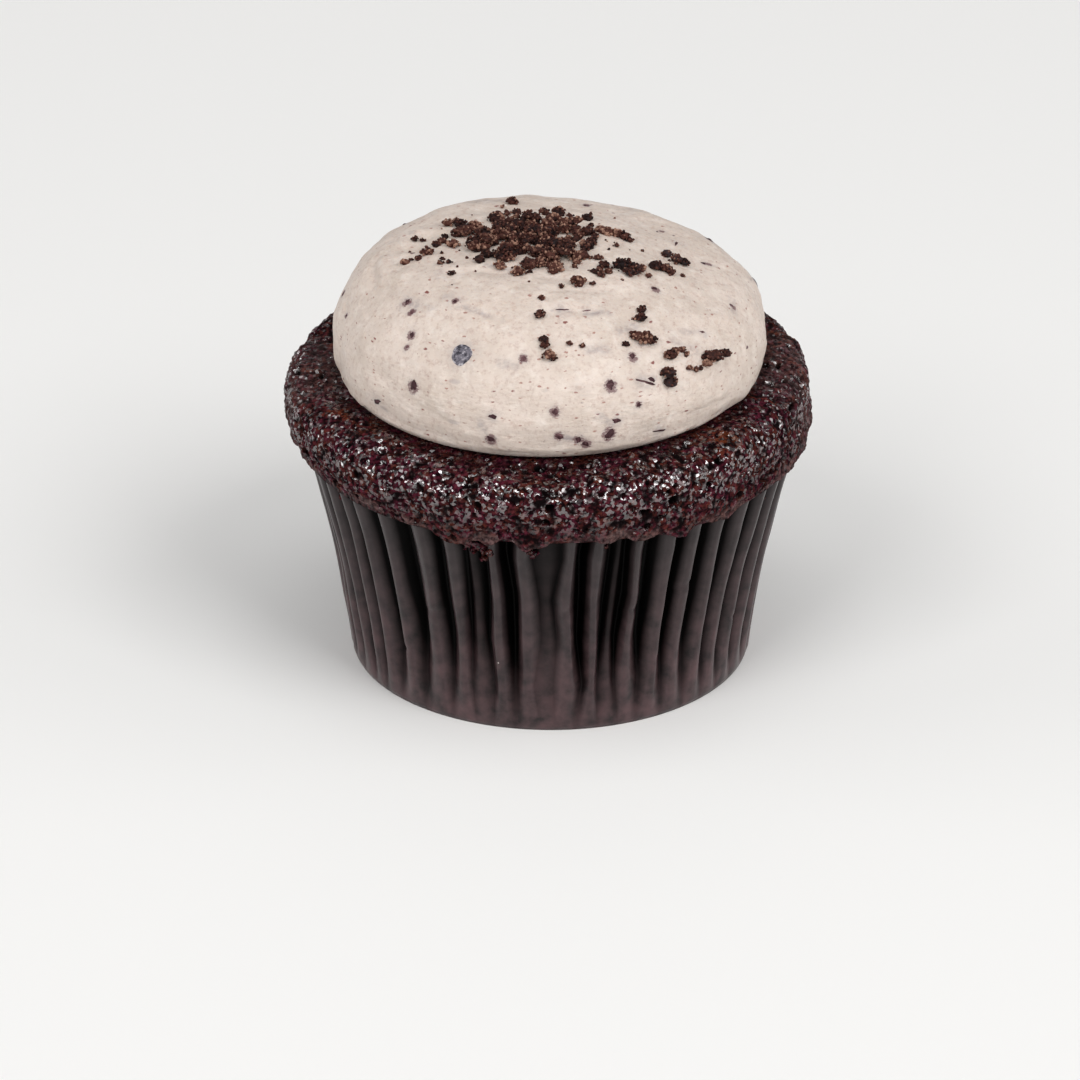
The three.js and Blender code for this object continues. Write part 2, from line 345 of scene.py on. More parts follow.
def add_node(tree, kind, *sources, **named):
    """Adds a node with its settings, whose names are in small letters, and fills its inputs.

    The sources fill the inputs in use, in their order, and a capitalised name fills the input of that name.
    A node is linked from its first output and a socket from itself, a hex colour is set as linear RGBA, and
    anything else is set as a value.
    """
    node = tree.nodes.new(f"ShaderNode{kind}")
    settings = {name: value for name, value in named.items() if name.islower()}
    for name, value in settings.items():
        setattr(node, name, value)
    filled = list(zip([socket for socket in node.inputs if socket.enabled], sources))
    filled += [(node.inputs[name.replace("_", " ")], named[name]) for name in named if name not in settings]
    for socket, source in filled:
        if isinstance(source, bpy.types.Node):
            source = next(output for output in source.outputs if output.enabled)
        if isinstance(source, bpy.types.NodeSocket):
            tree.links.new(source, socket)
        else:
            socket.default_value = colour(source) if isinstance(source, str) else source
    return node


def new_material(name):
    """An empty material, the function that adds nodes to it, and the place that its patterns are drawn by."""
    material = bpy.data.materials.new(name)
    material.use_nodes = True
    material.node_tree.nodes.clear()
    add = functools.partial(add_node, material.node_tree)
    return material, add, add("TexCoord").outputs["Object"]


def specks(add, place, spacing, largest, kept, softness=0.25):
    """A mask of scattered specks: one to a cell at most, in a kept share of the cells."""
    cells = add("TexVoronoi", place, per_metre(spacing))
    draw = add("SeparateColor", cells.outputs["Color"]).outputs["Red"]
    radius = largest / spacing / 2
    size = add("MapRange", draw, 1 - kept, 1, 0, radius)
    inside = add("Math", size, cells.outputs["Distance"], operation="SUBTRACT")
    return add("MapRange", inside, 0, radius * softness)


def layered(add, base, *layers):
    """A colour with others laid over it, each in its own share."""
    for share, layer in layers:
        base = add("Mix", share, base, layer, data_type="RGBA")
    return base


# ------------------------ materials


def calendered_paper():
    """Calendered black greaseproof paper: near-black pulp, satin only along its folds, painted shade in its
    grooves.
    """
    material, add, place = new_material("greaseproof paper, black, calendered")
    height = add("SeparateXYZ", place).outputs["Z"]
    groove = add("Attribute", attribute_name="groove").outputs["Fac"]
    mottle = add("MapRange", add("TexNoise", place, per_metre(2.2), 4, 0.55), 0.3, 0.7)
    warm = add("Math", add("MapRange", height, 26 * MM, 2 * MM), mottle, operation="MULTIPLY")
    # The grooves are painted near-black for the shade that falls in them.
    painted_groove_shade = (add("MapRange", groove, 0.17, 0.68), "#030202")
    dust = (specks(add, place, 3.2, 0.3, 0.22), "#b9aeaa")
    pulp = layered(add, "#261e1f", (mottle, "#3a3031"), (warm, "#5a4244"), painted_groove_shade, dust)
    # Fibres are about 0.03 mm wide, and are drawn 0.25 mm wide so that they show.
    fibre = add("TexNoise", place, per_metre(0.25), 2, 0.55)
    bump = add("Bump", Strength=0.3, Distance=0.02 * MM, Height=fibre)
    skin = add(
        "BsdfPrincipled", Base_Color=pulp, Roughness=add("MapRange", fibre, 0.3, 0.7, 0.4, 0.52), IOR=1.1,
        Coat_Weight=add("MapRange", groove, 0.17, 0.62, 1, 0.05), Coat_IOR=1.36, Coat_Roughness=0.36,
        Normal=bump, Coat_Normal=bump,
    )
    add("OutputMaterial", skin)
    return material


CRUST_NAME = "chocolate crust, baked, moist"


def baked_crust():
    """Chocolate crust, baked and moist: near-black maroon crumb under a syrupy film that glints in points."""
    material, add, place = new_material(CRUST_NAME)
    height = add("SeparateXYZ", place).outputs["Z"]
    masks = (add("Attribute", attribute_name=name).outputs["Fac"] for name in ("hollow", "dull", "pit"))
    hollow, dull, pit = masks
    grain = add("TexNoise", place, per_metre(0.6), 3, 0.65)
    patch = add("MapRange", add("TexNoise", place, per_metre(1.7), 3, 0.55), 0.4, 0.6)
    red = (add("MapRange", grain, 0.4, 0.64), layered(add, "#591e2f", (patch, "#572921")))
    # The top of the lip is browned in patches.
    browned = add("MapRange", add("TexNoise", place, per_metre(4.5), 3, 0.55), 0.54, 0.66)
    browned = add("Math", browned, add("MapRange", grain, 0.42, 0.55), operation="MULTIPLY")
    high = add("MapRange", height, (CROWN_HEIGHT - 2.4) * MM, (CROWN_HEIGHT - 0.6) * MM, 0.1, 0.65)
    browned = add("Math", browned, high, operation="MULTIPLY")
    # Greyer, duller crust: dry crumb along the lip's lower edge, and painted grazing sheen at its left and
    # right ends.
    dusty_and_sheen_layer = (dull, layered(add, "#2a191b", (add("MapRange", grain, 0.35, 0.62), "#6d5552")))
    # Hollows and pits are painted near-black for the shade that falls in them.
    crumb = layered(add, "#0e0105", red, (browned, "#6b3518"), (hollow, "#090203"), dusty_and_sheen_layer, (pit, "#040202"))
    gloss = add("TexNoise", place, per_metre(1.3), 2, 0.55)
    # The wet faces of the crumb are about 0.1 mm wide, and are drawn 0.4 mm wide so that each glint shows.
    crystal = add("TexVoronoi", place, per_metre(0.4)).outputs
    wet = add("MapRange", add("SeparateColor", crystal["Color"]).outputs["Blue"], 0.56, 0.65)
    dry = add("Math", pit, hollow, operation="MAXIMUM")
    dry = add("Math", dry, add("Math", dull, 0.7, operation="MULTIPLY"), operation="MAXIMUM")
    # The lip is wettest on its shoulder, less so on top, and nearly dry under its bulge.
    for share in (
        add("Math", 1, dry, operation="SUBTRACT"),
        add("MapRange", height, (LIP_EDGE + 1) * MM, (LIP_MIDDLE + 1) * MM, 0.15, 1),
        add("MapRange", height, 38 * MM, 39.5 * MM, 1, 0.5),
    ):
        wet = add("Math", wet, share, operation="MULTIPLY")
    from_middle = add("VectorMath", place, crystal["Position"], operation="SUBTRACT")
    slope = add("VectorMath", crystal["Color"], (0.5, 0.5, 0.92), operation="SUBTRACT")
    facets = add("VectorMath", from_middle, slope, operation="DOT_PRODUCT")
    bump = add("Bump", Strength=1, Distance=1, Height=facets)
    skin = add(
        "BsdfPrincipled", Base_Color=crumb, Roughness=add("MapRange", gloss, 0.35, 0.65, 0.45, 0.7), IOR=1.12,
        Coat_Weight=wet, Coat_IOR=2.8, Coat_Roughness=0.09, Normal=bump, Coat_Normal=bump,
    )
    add("OutputMaterial", skin)
    return material


def whipped_frosting():
    """Cookie frosting, whipped and spread: opaque grey-beige with a soft sheen, flecked with cookie dust."""
    material, add, place = new_material("cookie frosting, whipped")
    cream = "#cfc0b4"
    for size, raggedness, low, high, code in (
        (7, 0.55, 0.35, 0.65, "#dacbc0"), (0.7, 0.75, 0.5, 0.8, "#b3988c"), (2, 0.7, 0.5, 0.75, "#e3d7cd"),
    ):
        cloud = add("MapRange", add("TexNoise", place, per_metre(size), 4, raggedness), low, high)
        cream = layered(add, cream, (cloud, code))
    # The specks lie flat in the frosting and have ragged outlines.
    flat = add("VectorMath", place, (0.8, 0.8, 1.9), operation="MULTIPLY")
    ragged = add("TexNoise", place, per_metre(0.45), 3).outputs["Color"]
    bent = add("VectorMath", ragged, (0.5 * MM, 0.5 * MM, 0.5 * MM), flat, operation="MULTIPLY_ADD")
    for spacing, largest, kept, strength, code in (
        (0.9, 0.5, 0.65, 0.9, "#a2776b"), (1.7, 0.66, 0.55, 1, "#84504a"), (3.3, 0.9, 0.4, 1, "#5d3d42"),
        (4.6, 1.6, 0.45, 0.35, "#8f878c"),
    ):
        mask = add("Math", specks(add, bent, spacing, largest, kept, 0.4), strength, operation="MULTIPLY")
        cream = layered(add, cream, (mask, code))
    veil, stain = (add("Attribute", attribute_name=name).outputs["Fac"] for name in ("veil", "stain"))
    wisps = add("MapRange", add("TexNoise", bent, per_metre(0.6), 2, 0.55), 0.25, 0.6)
    veil = add("Math", veil, wisps, operation="MULTIPLY")
    blots = add("MapRange", add("TexNoise", bent, per_metre(0.5), 3, 0.7), 0.3, 0.6, 0.4, 1.5)
    stain = add("MapRange", add("Math", stain, blots, operation="MULTIPLY"), 0.4, 0.65, 0, 0.85)
    cream = layered(add, cream, (veil, "#7d757c"), (stain, "#6f5052"))
    sheen = add("MapRange", add("TexNoise", place, per_metre(2), 3, 0.55), 0.3, 0.7, 0.45, 0.62)
    grain = add("TexNoise", flat, per_metre(0.9), 4, 0.55)
    skin = add(
        "BsdfPrincipled", Base_Color=cream, Roughness=sheen, IOR=1.42, Subsurface_Weight=0.12,
        Subsurface_Radius=(1, 0.7, 0.5), Subsurface_Scale=1.2 * MM,
        Normal=add("Bump", Strength=0.8, Distance=0.2 * MM, Height=grain),
    )
    add("OutputMaterial", skin)
    return material


def cookie_crumb(name, codes, rough, mottle):
    """Cocoa cookie, baked dry and crushed: matt grains, each of its own shade from near-black to brown."""
    material, add, place = new_material(name)
    dark, mid, light = codes
    tone = add("Attribute", attribute_name="tone").outputs["Fac"]
    grain = add("TexNoise", place, per_metre(0.5), 3, 0.6)
    shade = add("Math", tone, add("MapRange", grain, 0.3, 0.7, -mottle, mottle), operation="ADD")
    middling, lit = add("MapRange", shade, 0.15, 0.55), add("MapRange", shade, 0.65, 1)
    cookie = layered(add, dark, (middling, mid), (lit, light))
    dryness = add("MapRange", grain, 0.3, 0.7, rough, rough + 0.2)
    grit = add("TexNoise", place, per_metre(0.25), 2, 0.55)
    bump = add("Bump", Strength=0.6, Distance=0.08 * MM, Height=grit)
    add("OutputMaterial", add("BsdfPrincipled", Base_Color=cookie, Roughness=dryness, IOR=1.3, Normal=bump))
    return material


def painted_floor():
    """A matt white painted board: one even, pale surface."""
    material, add, place = new_material("painted board, matt white")
    tone = add("MapRange", add("TexNoise", place, per_metre(900), 1, 0.55), 0.3, 0.7)
    white = layered(add, "#f2f1ef", (tone, "#f4f3f1"))
    add("OutputMaterial", add("BsdfPrincipled", Base_Color=white, Roughness=0.6))
    return material


# ------------------------ paper case


def case_radius(z):
    """Radius of the pleats' ridges at a height."""
    rise = z / CASE_HEIGHT
    return CASE_BASE_RADIUS + (CASE_RIM_RADIUS - CASE_BASE_RADIUS) * rise - CASE_BOW * np.sin(math.pi * rise)


def fold_table():
    """Bearing and depth share of each fold, ridge and groove by turns, all the way round."""
    first, last = FRONT_PLEATS[0][0], FRONT_PLEATS[-1][0]
    others = PLEATS - len(FRONT_PLEATS)
    step = (360 + first - last) / (others + 1)
    draw = random.Random(5)
    ridges = list(FRONT_PLEATS)
    for rank in range(others):
        bearing = last + step * (rank + 1 + draw.uniform(-0.12, 0.12))
        ridges.append((bearing, draw.uniform(0.85, 1), draw.uniform(0.8, 1.05)))
    ridges.append((first + 360, *ridges[0][1:]))
    folds = []
    for (bearing, stand, groove), (following, _, _) in zip(ridges, ridges[1:]):
        folds += [(bearing, 1 - stand), ((bearing + following) / 2, groove)]
    folds.append((first + 360, folds[0][1]))
    return np.array(folds)


def pleated(points):
    """Presses the pleats, their kinks and creases into the plain wall.

    Returns the new points, and the painted shade of each point, 0 to 1: darker deeper in a groove and higher
    up under the lip.
    """
    radius, angle, z = polar_of(points)
    half_pleat = 180 / PLEATS
    start = FRONT_FIRST_PLEAT * 2 * half_pleat - 360
    round_bearing = (np.degrees(angle) + 90 - start + half_pleat / 1000) % 360
    place = np.clip(round_bearing / half_pleat, 0, 2 * PLEATS - 1e-6)
    fold = np.floor(place).astype(int)
    share = place - fold
    folds = fold_table()
    crushed = np.exp(-((folds[:, 0] / CRUSHED) ** 2)) + np.exp(-(((folds[:, 0] - 360) / CRUSHED) ** 2))

    def bearing_of(index):
        level = z / KINK_HEIGHT
        low = np.floor(level)
        kink = corner_value(index % (2 * PLEATS), low, 3, 77) * (low + 1 - level)
        kink = kink + corner_value(index % (2 * PLEATS), low + 1, 3, 77) * (level - low)
        return folds[index, 0] + kink * (0.5 + 0.7 * crushed[index])

    bearing = bearing_of(fold) * (1 - share) + bearing_of(fold + 1) * share
    from_ridge = np.where(fold % 2 == 0, share, 1 - share)
    ridge = np.where(fold % 2 == 0, folds[fold, 1], folds[fold + 1, 1])
    groove = np.where(fold % 2 == 0, folds[fold + 1, 1], folds[fold, 1])
    flank = np.clip((from_ridge - RIDGE_SHARE) / (1 - RIDGE_SHARE), 0, 1) ** 1.12
    depth = ridge + (groove - ridge) * (0.05 * from_ridge + 0.95 * flank)
    grown = smooth(z, PLEAT_FOOT, PLEAT_FULL)
    inset = PLEAT_DEPTH * depth * grown
    turned_angle = np.radians(bearing - 90)
    x, y = radius * np.cos(turned_angle), radius * np.sin(turned_angle)
    inset = inset + lump(bearing, z / 9, 0 * z, 2.2, 0.12, 63) * smooth(z, 0, 5)
    inset = inset + (lump(x, y, z, 8, 0.14, 61) + lump(x, y, z, 3.5, 0.05, 62)) * smooth(z, 0, 6)
    for crease_bearing, crease_height in CREASES:
        across = ((bearing - crease_bearing + 180) % 360 - 180) / CREASE_REACH
        up = (z - crease_height - 0.25 * across) / CREASE_WIDTH
        inset = inset + CREASE_DEPTH * np.exp(-(across**2) - up**2)
    on_base = z < CASE_CORNER / 2
    radius = np.where(on_base, radius, radius - inset)
    # Painted shade in the grooves: darker with depth, and darker higher up where the lip overhangs.
    groove_shade = np.clip(1.25 * depth, 0, 1) * smooth(z, -3, 5) * (0.55 + 0.45 * smooth(z, 4, 20))
    return from_polar(radius, turned_angle, z), groove_shade


def paper_case():
    """The baking cup: a flat base, a flared wall pressed into pleats, and the paper's thickness inside."""
    base = [(4, 0), (12, 0), (18, 0), (22.5, 0), (24.2, 0), (CASE_BASE_RADIUS - CASE_CORNER_INSET, 0)]
    levels = np.linspace(CASE_CORNER, CASE_HEIGHT, round((CASE_HEIGHT - CASE_CORNER) / CASE_ROW) + 1)
    wall = [(case_radius(z), z) for z in levels]
    piece = turned("paper_case_pleated", base + wall, PLEATS * COLUMNS_PER_PLEAT, open_top=True)
    points, groove = pleated(points_of(piece))
    put_points(piece, points)
    # The groove attribute carries the painted shade of the grooves to the paper's material.
    paint(piece, "groove", groove)
    modify(piece, "SOLIDIFY", thickness=PAPER * MM, offset=-1)
    smooth_shade(piece)
    return dress(piece, calendered_paper(), "case_paper", "paper_case")


# ------------------------ cake


def lip_outline():
    """The outside of the lip, from its lower edge round to the seat of the frosting, as radius and height."""
    tip = case_radius(LIP_EDGE) + CLEARANCE + LIP_TIP
    below = quarter_arc((tip, LIP_MIDDLE), LIP_RADIUS - tip, LIP_EDGE - LIP_MIDDLE, LIP_SQUARENESS)[::-1]
    shoulder = (LIP_RADIUS - CROWN_RADIUS, CROWN_HEIGHT - LIP_MIDDLE)
    above = quarter_arc((CROWN_RADIUS, LIP_MIDDLE), *shoulder, CROWN_SQUARENESS)
    return evenly(np.concatenate([below, above[1:]]), CRUST_STEP)


def tilt(radius, angle):
    """How much higher the cake's sloping seat is here than in the middle."""
    return CROWN_TILT * (radius / CROWN_RADIUS) * np.cos(angle - CROWN_TILT_ANGLE)


def drips():
    """The drips in front, and others round the back."""
    draw = random.Random(17)
    limits = ((74, 292), (0.3, 1.4), (0.8, 1.5))
    return DRIPS + [tuple(draw.uniform(*pair) for pair in limits) for _ in range(HIDDEN_DRIPS)]


def risen(points, skin):
    """Gives the plain cake its lobes, slope and lumps. Skin says how much of each point is crust."""
    radius, angle, z = polar_of(points)
    lobe = LIP_LOBE_DROP * np.cos(LIP_LOBES * (angle - LIP_LOBE_ANGLE))
    edge = LIP_TILT * np.cos(angle - LIP_TILT_ANGLE) - lobe
    bearing = np.degrees(angle) + 90
    for drip_bearing, drop, half_width in drips():
        away = ((bearing - drip_bearing + 180) % 360 - 180) / math.degrees(half_width / CASE_RIM_RADIUS)
        edge = edge - 0.8 * drop * np.exp(-(np.abs(0.7 * away) ** 3))
    edge = np.minimum(edge, LIP_EDGE_TOP - LIP_EDGE) + lump(points[:, 0], points[:, 1], 0 * z, 2.3, 0.3, 92)
    edge = edge + lump(points[:, 0], points[:, 1], 0 * z, 0.9, 0.1, 93)
    hang = 1 - smooth(z, LIP_EDGE, LIP_MIDDLE)
    outside = radius > CASE_RIM_RADIUS + CLEARANCE / 2
    hangs = (skin > 0) | (outside & (z < CASE_HEIGHT))
    z = z + np.where(hangs, edge * hang, 0)
    moved = from_polar(radius, angle, z)
    beyond_crown = smooth(radius, CROWN_RADIUS, CROWN_RADIUS + CROWN_EDGE)
    push = beyond_crown * skin * (lump(*moved.T, *COARSE_LUMP) + lump(*moved.T, *FINE_LUMP))
    away = np.stack([radius - CROWN_RADIUS, z - LIP_EDGE])
    away = away / np.maximum(np.linalg.norm(away, axis=0), 1e-6)
    lift = tilt(radius, angle) * smooth(z, LIP_EDGE, CROWN_HEIGHT)
    shift = LIP_SHIFT * beyond_crown * smooth(z, LIP_EDGE, LIP_MIDDLE)
    return from_polar(radius + push * away[0] - shift * np.cos(angle), angle, z + push * away[1] + lift)


def press_pits(piece, skin):
    """Opens holes 0.4 to 1.5 mm across in the crust, and returns how deep in one each point lies, 0 to 1."""
    points, normals = points_of(piece), normals_of(piece)
    draw = random.Random(31)
    crust = np.nonzero(skin > 0.9)[0]
    ragged = lump(*points.T, 0.6, 0.35, 51)
    depth = np.zeros(len(points))
    for _ in range(PITS):
        centre = points[crust[draw.randrange(len(crust))]]
        size = PIT_SMALLEST + PIT_GROWTH * draw.random() ** 3
        near = np.linalg.norm(points - centre, axis=1) / size + ragged
        depth = np.maximum(depth, size * 1.3 * (1 - smooth(near, 0.35, 1.1)))
    put_points(piece, points - normals * depth[:, None] * skin[:, None])
    return np.clip(depth / (PIT_SMALLEST + PIT_GROWTH), 0, 1)


def cake():
    """A plain cone inside the case and a lip of crust that hangs over the rim, in one closed skin."""
    over_rim = CASE_HEIGHT + CLEARANCE
    core = [(case_radius(z) - CORE_INSET, z) for z in (CAKE_FOOT, 8, 19)]
    core += [(CASE_RIM_RADIUS - CORE_INSET, over_rim)]
    roof = [(CASE_RIM_RADIUS + CLEARANCE, over_rim), (case_radius(LIP_EDGE) + CLEARANCE, LIP_EDGE)]
    outline = lip_outline()
    seat = [(CROWN_RADIUS - 1.5, CROWN_HEIGHT), (12, CROWN_HEIGHT)]
    piece = turned("cake_with_crust", [(12, CAKE_FOOT), *core, *roof, *outline, *seat], CRUST_COLUMNS)
    ring = np.arange(len(piece.data.vertices)) // CRUST_COLUMNS
    first = 1 + len(core) + len(roof)
    on_skin = (ring >= first) & (ring < first + len(outline))
    radius, angle, z = polar_of(points_of(piece))
    skin = on_skin * smooth(radius, CROWN_RADIUS - 0.1, CROWN_RADIUS + CROWN_EDGE)
    skin = skin * np.where(z < LIP_MIDDLE, smooth(ring, first - 1, first + 2), 1)
    put_points(piece, risen(points_of(piece), skin))
    weigh(piece, "crust", skin)
    plain, outwards = points_of(piece), normals_of(piece)
    displace(piece, "CLOUDS", 1.5, 0.6, 0.5, "crust", noise_basis="ORIGINAL_PERLIN", noise_depth=1)
    displace(piece, "CLOUDS", 0.8, -0.3, 0.2, "crust", noise_basis="VORONOI_F1", noise_depth=0)
    # The hollows that the displacement leaves are painted dark for their shade.
    hollow = -np.sum((points_of(piece) - plain) * outwards, axis=1)
    # The ring round the foot of the frosting lies in its shade, so it is dark too.
    from_seat = radius + lump(*plain.T, 2.4, 0.7, 73)
    near_seat = 0.6 * (1 - smooth(from_seat, CROWN_RADIUS + 1, CROWN_RADIUS + 3.6)) * (z > LIP_MIDDLE)
    paint(piece, "hollow", np.maximum(smooth(hollow, 0.08, 0.25), near_seat) * skin)
    pit = press_pits(piece, skin)
    # Each pit is painted near-black by this share, for the shade inside it.
    paint(piece, "pit", pit)
    # Greyer, duller crust: painted grazing sheen at the left and right ends as seen from the front, and dry
    # crumb along the lip's lower edge.
    ends = smooth(np.abs(np.sin(angle + math.pi / 2)), 0.93, 1)
    low = 1 - smooth(z + lump(*points_of(piece).T, 2.6, 0.9, 71), LIP_EDGE + 0.5, LIP_EDGE + 1.6)
    low = low * smooth(lump(*points_of(piece).T, 5, 1, 72), -0.5, 0.2)
    paint(piece, "dull", np.clip(np.maximum(ends * 0.3, low * 0.8), 0, 1) * (skin > 0.05))
    smooth_shade(piece)
    return dress(piece, baked_crust(), "chocolate_cake", "cake")


# ------------------------ frosting


def mound_outline():
    """The mound's section from the rim of its foot round to the top, as radius and height."""
    middle = (MOUND_FOOT_RADIUS, MOUND_MIDDLE)
    bulge = MOUND_RADIUS - MOUND_FOOT_RADIUS
    below = quarter_arc(middle, bulge, MOUND_FOOT - MOUND_MIDDLE, MOUND_FOOT_SQUARENESS)[::-1]
    above = quarter_arc((0, MOUND_MIDDLE), MOUND_RADIUS, MOUND_RISE, MOUND_SQUARENESS)
    outline = evenly(np.concatenate([below, above[1:]]), MOUND_STEP)
    return outline[outline[:, 0] > 0.5]


def spread(points):
    """Gives the plain mound its swirl, smears, dip, slope and lean."""
    radius, angle, z = polar_of(points)
    inwards = 1 - radius / MOUND_RADIUS
    swirl = np.cos(angle - SWIRL_START - SWIRL_TURNS * 2 * math.pi * inwards)
    fade = smooth(inwards, 0, SWIRL_FADE) * smooth(radius, 0, DIP_RADIUS)
    dip = DIP_DEPTH * np.exp(-(np.hypot(points[:, 0] - PILE_X, points[:, 1] - PILE_Y) / DIP_RADIUS) ** 2)
    top = z > MOUND_MIDDLE
    z = z + np.where(top, (SWIRL_HEIGHT * swirl + lump(*points.T, *SMEAR)) * fade - dip, 0)
    lift = tilt(radius, angle) * (1 - smooth(z, MOUND_FOOT, MOUND_MIDDLE + MOUND_RISE))
    z = z + lift
    lean = MOUND_LEAN * (np.maximum(z - MOUND_MIDDLE, 0) / MOUND_RISE) ** 2
    moved = from_polar(radius, angle, z)
    moved[:, 0] -= lean
    return moved


def seat_direction(bearing, elevation):
    """The unit vector from the mound's middle at a bearing and an elevation."""
    bearing, elevation = math.radians(bearing), math.radians(elevation)
    flat = math.cos(elevation)
    return np.array([flat * math.sin(bearing), -flat * math.cos(bearing), math.sin(elevation)])


def from_stroke(points, start, end):
    """Distance of each point from a stroke drawn on the mound, and its place along the stroke, 0 to 1."""
    middle = np.array([0, 0, SEATS_FROM])
    ways = points - middle
    reach = np.linalg.norm(ways, axis=1)
    ways = ways / reach[:, None]
    first, last = seat_direction(*start), seat_direction(*end)
    span = max(np.dot(last - first, last - first), 1e-9)
    along = np.clip(((ways - first) @ (last - first)) / span, 0, 1)
    nearest = first + along[:, None] * (last - first)
    nearest = nearest / np.linalg.norm(nearest, axis=1)[:, None]
    return np.linalg.norm(ways - nearest, axis=1) * reach, along


STROKE_DEPTH = 1.6
# Strokes of the spatula: start, end, width in mm and relative depth; a ridge has a negative depth.
STROKES = [
    ((-95, 24), (-75, 22), 0.8, 0.3), ((-112, 36), (-88, 33), 1.1, 0.35),
    ((-93, 27), (-74, 24), 0.8, -0.15), ((-58, 42), (-16, 53), 0.9, 0.25),
    ((-16, 53), (20, 50), 0.9, 0.25), ((-6, 44), (35, 40), 0.7, 0.22), ((-12, 48), (30, 45), 0.6, 0.12),
    ((-38, 30), (-27, 30), 0.5, 0.14), ((-27, 30), (-17, 28), 0.5, 0.16), ((-2, 34), (21, 32), 0.6, 0.2),
    ((-2, 36), (24, 34.5), 0.9, -0.12), ((-11, 13), (-17, 5), 0.4, 0.18), ((-9, 11), (-16, 4), 0.4, 0.12),
    ((27, -5), (61, -6), 0.5, 0.08), ((33, -2), (58, -2), 0.5, 0.05), ((-34, -5), (-12, -7), 0.5, 0.06),
    ((-61, -6), (-42, -5), 0.5, 0.05), ((-40, 1), (-25, -2), 0.5, 0.05), ((52, 8), (66, 5), 0.6, 0.12),
    ((45, 6), (60, 1), 0.5, 0.12), ((-60, 40), (-48, 34), 0.8, 0.12), ((-78, 30), (-58, 25), 1.2, -0.15),
    ((40, 22), (62, 20), 1.4, 0.12), ((-20, 22), (0, 25), 2, -0.15),
]

# Soft grey smears of cookie under the skin: start, end, width in mm, strength.
SMEARS = [
    ((-56.8, 24.6), (-52, 25), 1, 0.5), ((-50, 25.5), (-46, 26), 0.6, 0.3),
    ((-17, -2.2), (-18.6, -0.7), 0.7, 0.5), ((-15, 15.9), (-10, 15.4), 0.5, 0.35),
    ((12, 19.9), (17, 19.4), 0.6, 0.45), ((-35, 30), (-22.7, 29), 0.35, 0.45),
    ((-51, 49.8), (-28, 53.6), 0.4, 0.3), ((-44, 31), (-36, 30), 0.7, 0.3),
    ((0.8, 33.3), (8, 33), 0.3, 0.4), ((14, 32), (24, 31), 0.35, 0.55), ((3, -2.5), (8, -4.3), 0.5, 0.7),
    ((29, 20), (31, 19.5), 0.5, 0.4), ((12.5, 2.5), (16, -0.3), 0.45, 0.5),
    ((24, 24), (31, 25), 0.6, 0.4), ((46, 19), (52, 17.5), 0.4, 0.35), ((7, 10), (10, 9), 0.7, 0.2),
    ((-53, -4), (-49, -5), 0.3, 0.4), ((41, 17), (45, 13), 0.8, 0.3), ((-60, 37), (-55, 36), 0.6, 0.3),
    ((72, 16), (78, 17), 0.6, 0.35), ((130, 20), (150, 24), 0.6, 0.4), ((170, 8), (182, 10), 0.5, 0.5),
    ((-130, 15), (-118, 12), 0.6, 0.4), ((100, 12), (108, 8), 0.5, 0.5),
    ((-160, 30), (-150, 26), 0.8, 0.4),
]


def frosting():
    """The mound: a plain closed dome, then the swirl and the spatula's strokes, then the smears' shares."""
    piece = turned("frosting_mound", [(12, MOUND_FOOT), (22, MOUND_FOOT), *mound_outline()], MOUND_COLUMNS)
    put_points(piece, spread(points_of(piece)))
    points, normals = points_of(piece), normals_of(piece)
    x, y, z = points.T
    push = lump(x, y, z, 6.5, 0.32, 43) + lump(x, y, 1.4 * z, 3, 0.2, 47) + lump(x, y, 2.2 * z, 1.7, 0.08, 44)
    push = push - 0.5 * smooth(x, -7, 4) * smooth(z, 46, 54) - 0.3 * smooth(-x, 12, 19) * smooth(z, 46, 51)
    for start, end, width, depth in STROKES:
        away, along = from_stroke(points, start, end)
        away = away + lump(*points.T, 2.5, 0.35 * width, 45)
        fade_in, fade_out = smooth(along, -0.02, 0.2), 1 - smooth(along, 0.8, 1.02)
        push = push - STROKE_DEPTH * depth * np.exp(-((away / width) ** 2)) * fade_in * fade_out
    low = z < MOUND_FOOT + 0.2
    put_points(piece, points + normals * np.where(low, 0, push)[:, None])
    veil = np.zeros(len(points))
    for start, end, width, strength in SMEARS:
        away, _ = from_stroke(points, start, end)
        away = away + lump(*points.T, 1.2, 0.4 * width, 46)
        veil = np.maximum(veil, strength * np.exp(-((away / width) ** 2)))
    stain = np.zeros(len(points))
    for bearing, elevation, length, width, _ in SUNK_BITS + VEILED_BITS:
        away, _ = from_stroke(points, (bearing, elevation), (bearing, elevation))
        reach = 0.25 * (length + width)
        veil = np.maximum(veil, 0.5 * np.exp(-((away / (reach + 0.3)) ** 2)))
        if length < 2 * width < 2.5:
            stain = np.maximum(stain, np.exp(-((away / (1.35 * reach + 0.1)) ** 2)))
    paint(piece, "veil", veil)
    paint(piece, "stain", stain)
    smooth_shade(piece)
    return dress(piece, whipped_frosting(), "cookie_frosting", "frosting")


# ------------------------ cookie crumbs

FULL_TURN = 6.283  # radians
SMALL_CRUMBS, SMALL_CRUMB_SPREAD = 150, 5.2  # strewn over the large ones in the pile
SMALL_CRUMB_SIZES = (0.7, 1.6)
SEAT_LIFT = 0.2  # share of its size that a crumb's centre lies above the frosting
NEIGHBOUR_REACH = 0.36  # share of two crumbs' sizes within which one lies on the other
CORE_SHARE = 0.8  # of a crumb's size, under its grains
GRAIN_SIZES, LOOSE_GRAIN_SIZES = (0.2, 0.45), (0.18, 0.42)
LOOSE_GRAINS, LOOSE_GRAIN_SPREAD, LOOSE_GRAINS_WITHIN = 110, 6.5, 22
